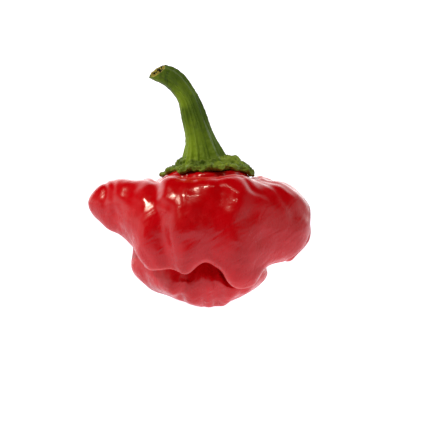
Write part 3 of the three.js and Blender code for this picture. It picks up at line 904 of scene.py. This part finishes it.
class PEPPER_OT_stem(bpy.types.Operator):
    """Builds the curved stem and its torn end"""

    bl_idname = "pepper.stem"
    bl_label = "Stem"

    def execute(self, context):
        grid, length_share, core_share = stem_grid(STEM_COLUMNS, STEM_ROWS, CUT_ROWS)
        mesh = closed_mesh("stem_stalk", grid + frame_shift())
        for name, shares in (("length_share", length_share), ("core_share", core_share)):
            add_attribute(mesh, name, point_values(np.repeat(shares[:, None], STEM_COLUMNS, axis=1)))
        turn = np.linspace(0.0, 2 * np.pi, STEM_COLUMNS, endpoint=False)
        shade = np.repeat(0.5 + 0.5 * np.cos(turn + SHADE_TURN)[None, :], len(grid), axis=0)
        add_attribute(mesh, "shade_side", point_values(shade))
        add_piece("stem_stalk", mesh, stem_material(context.scene.pepper_colours), "stem")
        return {"FINISHED"}


# ---------------------------------------------------------------------------
# The studio.
# ---------------------------------------------------------------------------
FLOOR_HALF = 20.0  # metres
FLOOR_GREYS = ((0.06, 0.06, 0.06, 1.0), (0.07, 0.07, 0.07, 1.0))
FLOOR_GLOW = 1.15
FLOOR_TINT = (0.97, 0.91, 1.0, 1.0)
GLOW_SPAN = (20.0, 260.0)  # millimetres from the floor's middle, over which the glow fades
GLOW_STRETCH = 0.35        # sideways distances count only this share, so it reaches further

# Strengths of the surroundings, and the spans of a direction over which they rise.
DARK_WALL = 0.0
BRIGHT_WALL = 1.9
LEFT_WALL = 1.5
WALL_SPAN = (0.50, 1.0)     # towards the back
SIDE_SHARE = 0.35           # how much a sideways direction counts towards the back
HORIZON_SPAN = (0.1, 0.75)  # upwards, over which the side walls fade out
RIGHT_SPAN = (0.2, 0.9)
LEFT_SPAN = (-1.0, -0.75)

# Lamps that make the small highlights: name, place in metres, size, watts.
LAMP_TINT = (1.0, 0.87, 0.70)
LAMPS = (
    ("highlight_left", (-0.33, -0.14, 0.42), 0.034, 1.25),
    ("highlight_middle", (-0.11, -0.19, 0.53), 0.022, 0.8),
    ("highlight_right", (0.04, -0.18, 0.54), 0.010, 0.15),
    ("highlight_far_right", (0.13, -0.19, 0.52), 0.010, 0.15),
)
SENSOR_WIDTH = 36.0
NEAREST_SEEN = 0.01  # metres


def add_floor():
    """A wide pale floor, flat and a little luminous, as a lit acrylic table is."""
    mesh = bpy.data.meshes.new("floor")
    corners = [(-1, -1), (1, -1), (1, 1), (-1, 1)]
    mesh.from_pydata([(x * FLOOR_HALF, y * FLOOR_HALF, 0) for x, y in corners], [], [(0, 1, 2, 3)])
    floor = bpy.data.objects.new("floor", mesh)
    bpy.context.scene.collection.objects.link(floor)
    material, nodes, shader = new_material("pale floor")
    shade = nodes.noise(nodes.coordinates(), 0.01, detail=2.0)
    nodes.put(shader.inputs["Base Color"], nodes.mix(shade, *FLOOR_GREYS))
    shader.inputs["Roughness"].default_value = 0.4
    shader.inputs["Emission Color"].default_value = FLOOR_TINT
    away = nodes.add("ShaderNodeVectorMath", operation="LENGTH")
    nodes.put(away.inputs[0], nodes.coordinates((GLOW_STRETCH, 1.0, 1.0)))
    glow = nodes.span(away.outputs["Value"], *GLOW_SPAN, FLOOR_GLOW, 0.0)
    seen = nodes.add("ShaderNodeLightPath").outputs["Is Camera Ray"]
    nodes.put(shader.inputs["Emission Strength"], nodes.math("MAXIMUM", glow, seen))
    floor.data.materials.append(material)


def add_world():
    """Pale surroundings that are bright behind and beside the pepper and dark in front of
    it, above the floor; whatever looks straight at them sees plain white."""
    world = bpy.data.worlds.new("studio")
    world.use_nodes = True
    nodes = Nodes(world.node_tree)
    parts = nodes.add("ShaderNodeSeparateXYZ")
    nodes.put(parts.inputs[0], nodes.add("ShaderNodeTexCoord").outputs["Generated"])
    sideways = nodes.math("MULTIPLY", nodes.math("ABSOLUTE", parts.outputs["X"]), SIDE_SHARE)
    depth = nodes.math("ADD", parts.outputs["Y"], sideways)
    wall = nodes.span(depth, *WALL_SPAN, DARK_WALL, BRIGHT_WALL)
    low = nodes.span(parts.outputs["Z"], *HORIZON_SPAN, 1.0, 0.0)
    right = nodes.span(parts.outputs["X"], *RIGHT_SPAN)
    left = nodes.span(parts.outputs["X"], *LEFT_SPAN, LEFT_WALL, 0.0)
    sides = nodes.math("MULTIPLY", low, nodes.math("MAXIMUM", right, left))
    light = nodes.math("MAXIMUM", wall, sides)
    seen = nodes.add("ShaderNodeLightPath").outputs["Is Camera Ray"]
    background = world.node_tree.nodes["Background"]
    background.inputs["Color"].default_value = (1, 1, 1, 1)
    nodes.put(background.inputs["Strength"], nodes.math("MAXIMUM", light, seen))
    bpy.context.scene.world = world


def aim(thing, target):
    """Turns a lamp or camera to face a target."""
    thing.rotation_euler = (Vector(target) - thing.location).to_track_quat("-Z", "Y").to_euler()


def add_lamp(name, place, size, power, target):
    """A square area lamp at place, facing target."""
    light = bpy.data.lights.new(name, "AREA")
    light.size = size
    light.energy = power
    light.color = LAMP_TINT
    lamp = bpy.data.objects.new(name, light)
    bpy.context.scene.collection.objects.link(lamp)
    lamp.location = place
    aim(lamp, target)


class PEPPER_OT_studio(bpy.types.Operator):
    """Sets up the floor, the lamps, the pale surroundings and the camera"""

    bl_idname = "pepper.studio"
    bl_label = "Studio"

    def execute(self, context):
        sizes = context.scene.pepper_sizes
        add_floor()
        target = Vector(sizes.target) + Vector(frame_shift() * MM)
        for name, place, size, power in LAMPS:
            add_lamp(name, place, size, power, target)
        add_world()
        camera_data = bpy.data.cameras.new("camera")
        camera_data.lens = sizes.lens
        camera_data.sensor_width = SENSOR_WIDTH
        camera_data.clip_start = NEAREST_SEEN
        camera = bpy.data.objects.new("camera", camera_data)
        context.scene.collection.objects.link(camera)
        back = Vector((0.0, -math.cos(sizes.camera_height), math.sin(sizes.camera_height)))
        camera.location = target + back * sizes.camera_distance
        aim(camera, target)
        context.scene.camera = camera
        context.scene.view_settings.view_transform = "Standard"
        return {"FINISHED"}


class PEPPER_PT_panel(bpy.types.Panel):
    """The buttons and settings of the pepper"""

    bl_label = "Bonnet chilli pepper"
    bl_space_type = "VIEW_3D"
    bl_region_type = "UI"
    bl_category = "Pepper"

    def draw(self, context):
        column = self.layout.column()
        for operator in OPERATORS:
            column.operator(operator.bl_idname)
        for settings in (context.scene.pepper_sizes, context.scene.pepper_colours):
            for name in settings.__annotations__:
                column.prop(settings, name)


OPERATORS = (PEPPER_OT_pod, PEPPER_OT_calyx, PEPPER_OT_stem, PEPPER_OT_studio)
CLASSES = (PepperColours, PepperSizes, *OPERATORS, PEPPER_PT_panel)


def register():
    for cls in CLASSES:
        bpy.utils.register_class(cls)
    bpy.types.Scene.pepper_colours = bpy.props.PointerProperty(type=PepperColours)
    bpy.types.Scene.pepper_sizes = bpy.props.PointerProperty(type=PepperSizes)


def unregister():
    del bpy.types.Scene.pepper_sizes
    del bpy.types.Scene.pepper_colours
    for cls in reversed(CLASSES):
        bpy.utils.unregister_class(cls)


def main():
    register()
    for build in (bpy.ops.pepper.pod, bpy.ops.pepper.calyx, bpy.ops.pepper.stem, bpy.ops.pepper.studio):
        if build() != {"FINISHED"}:
            raise RuntimeError("an operator did not finish")


if __name__ == "__main__":
    main()
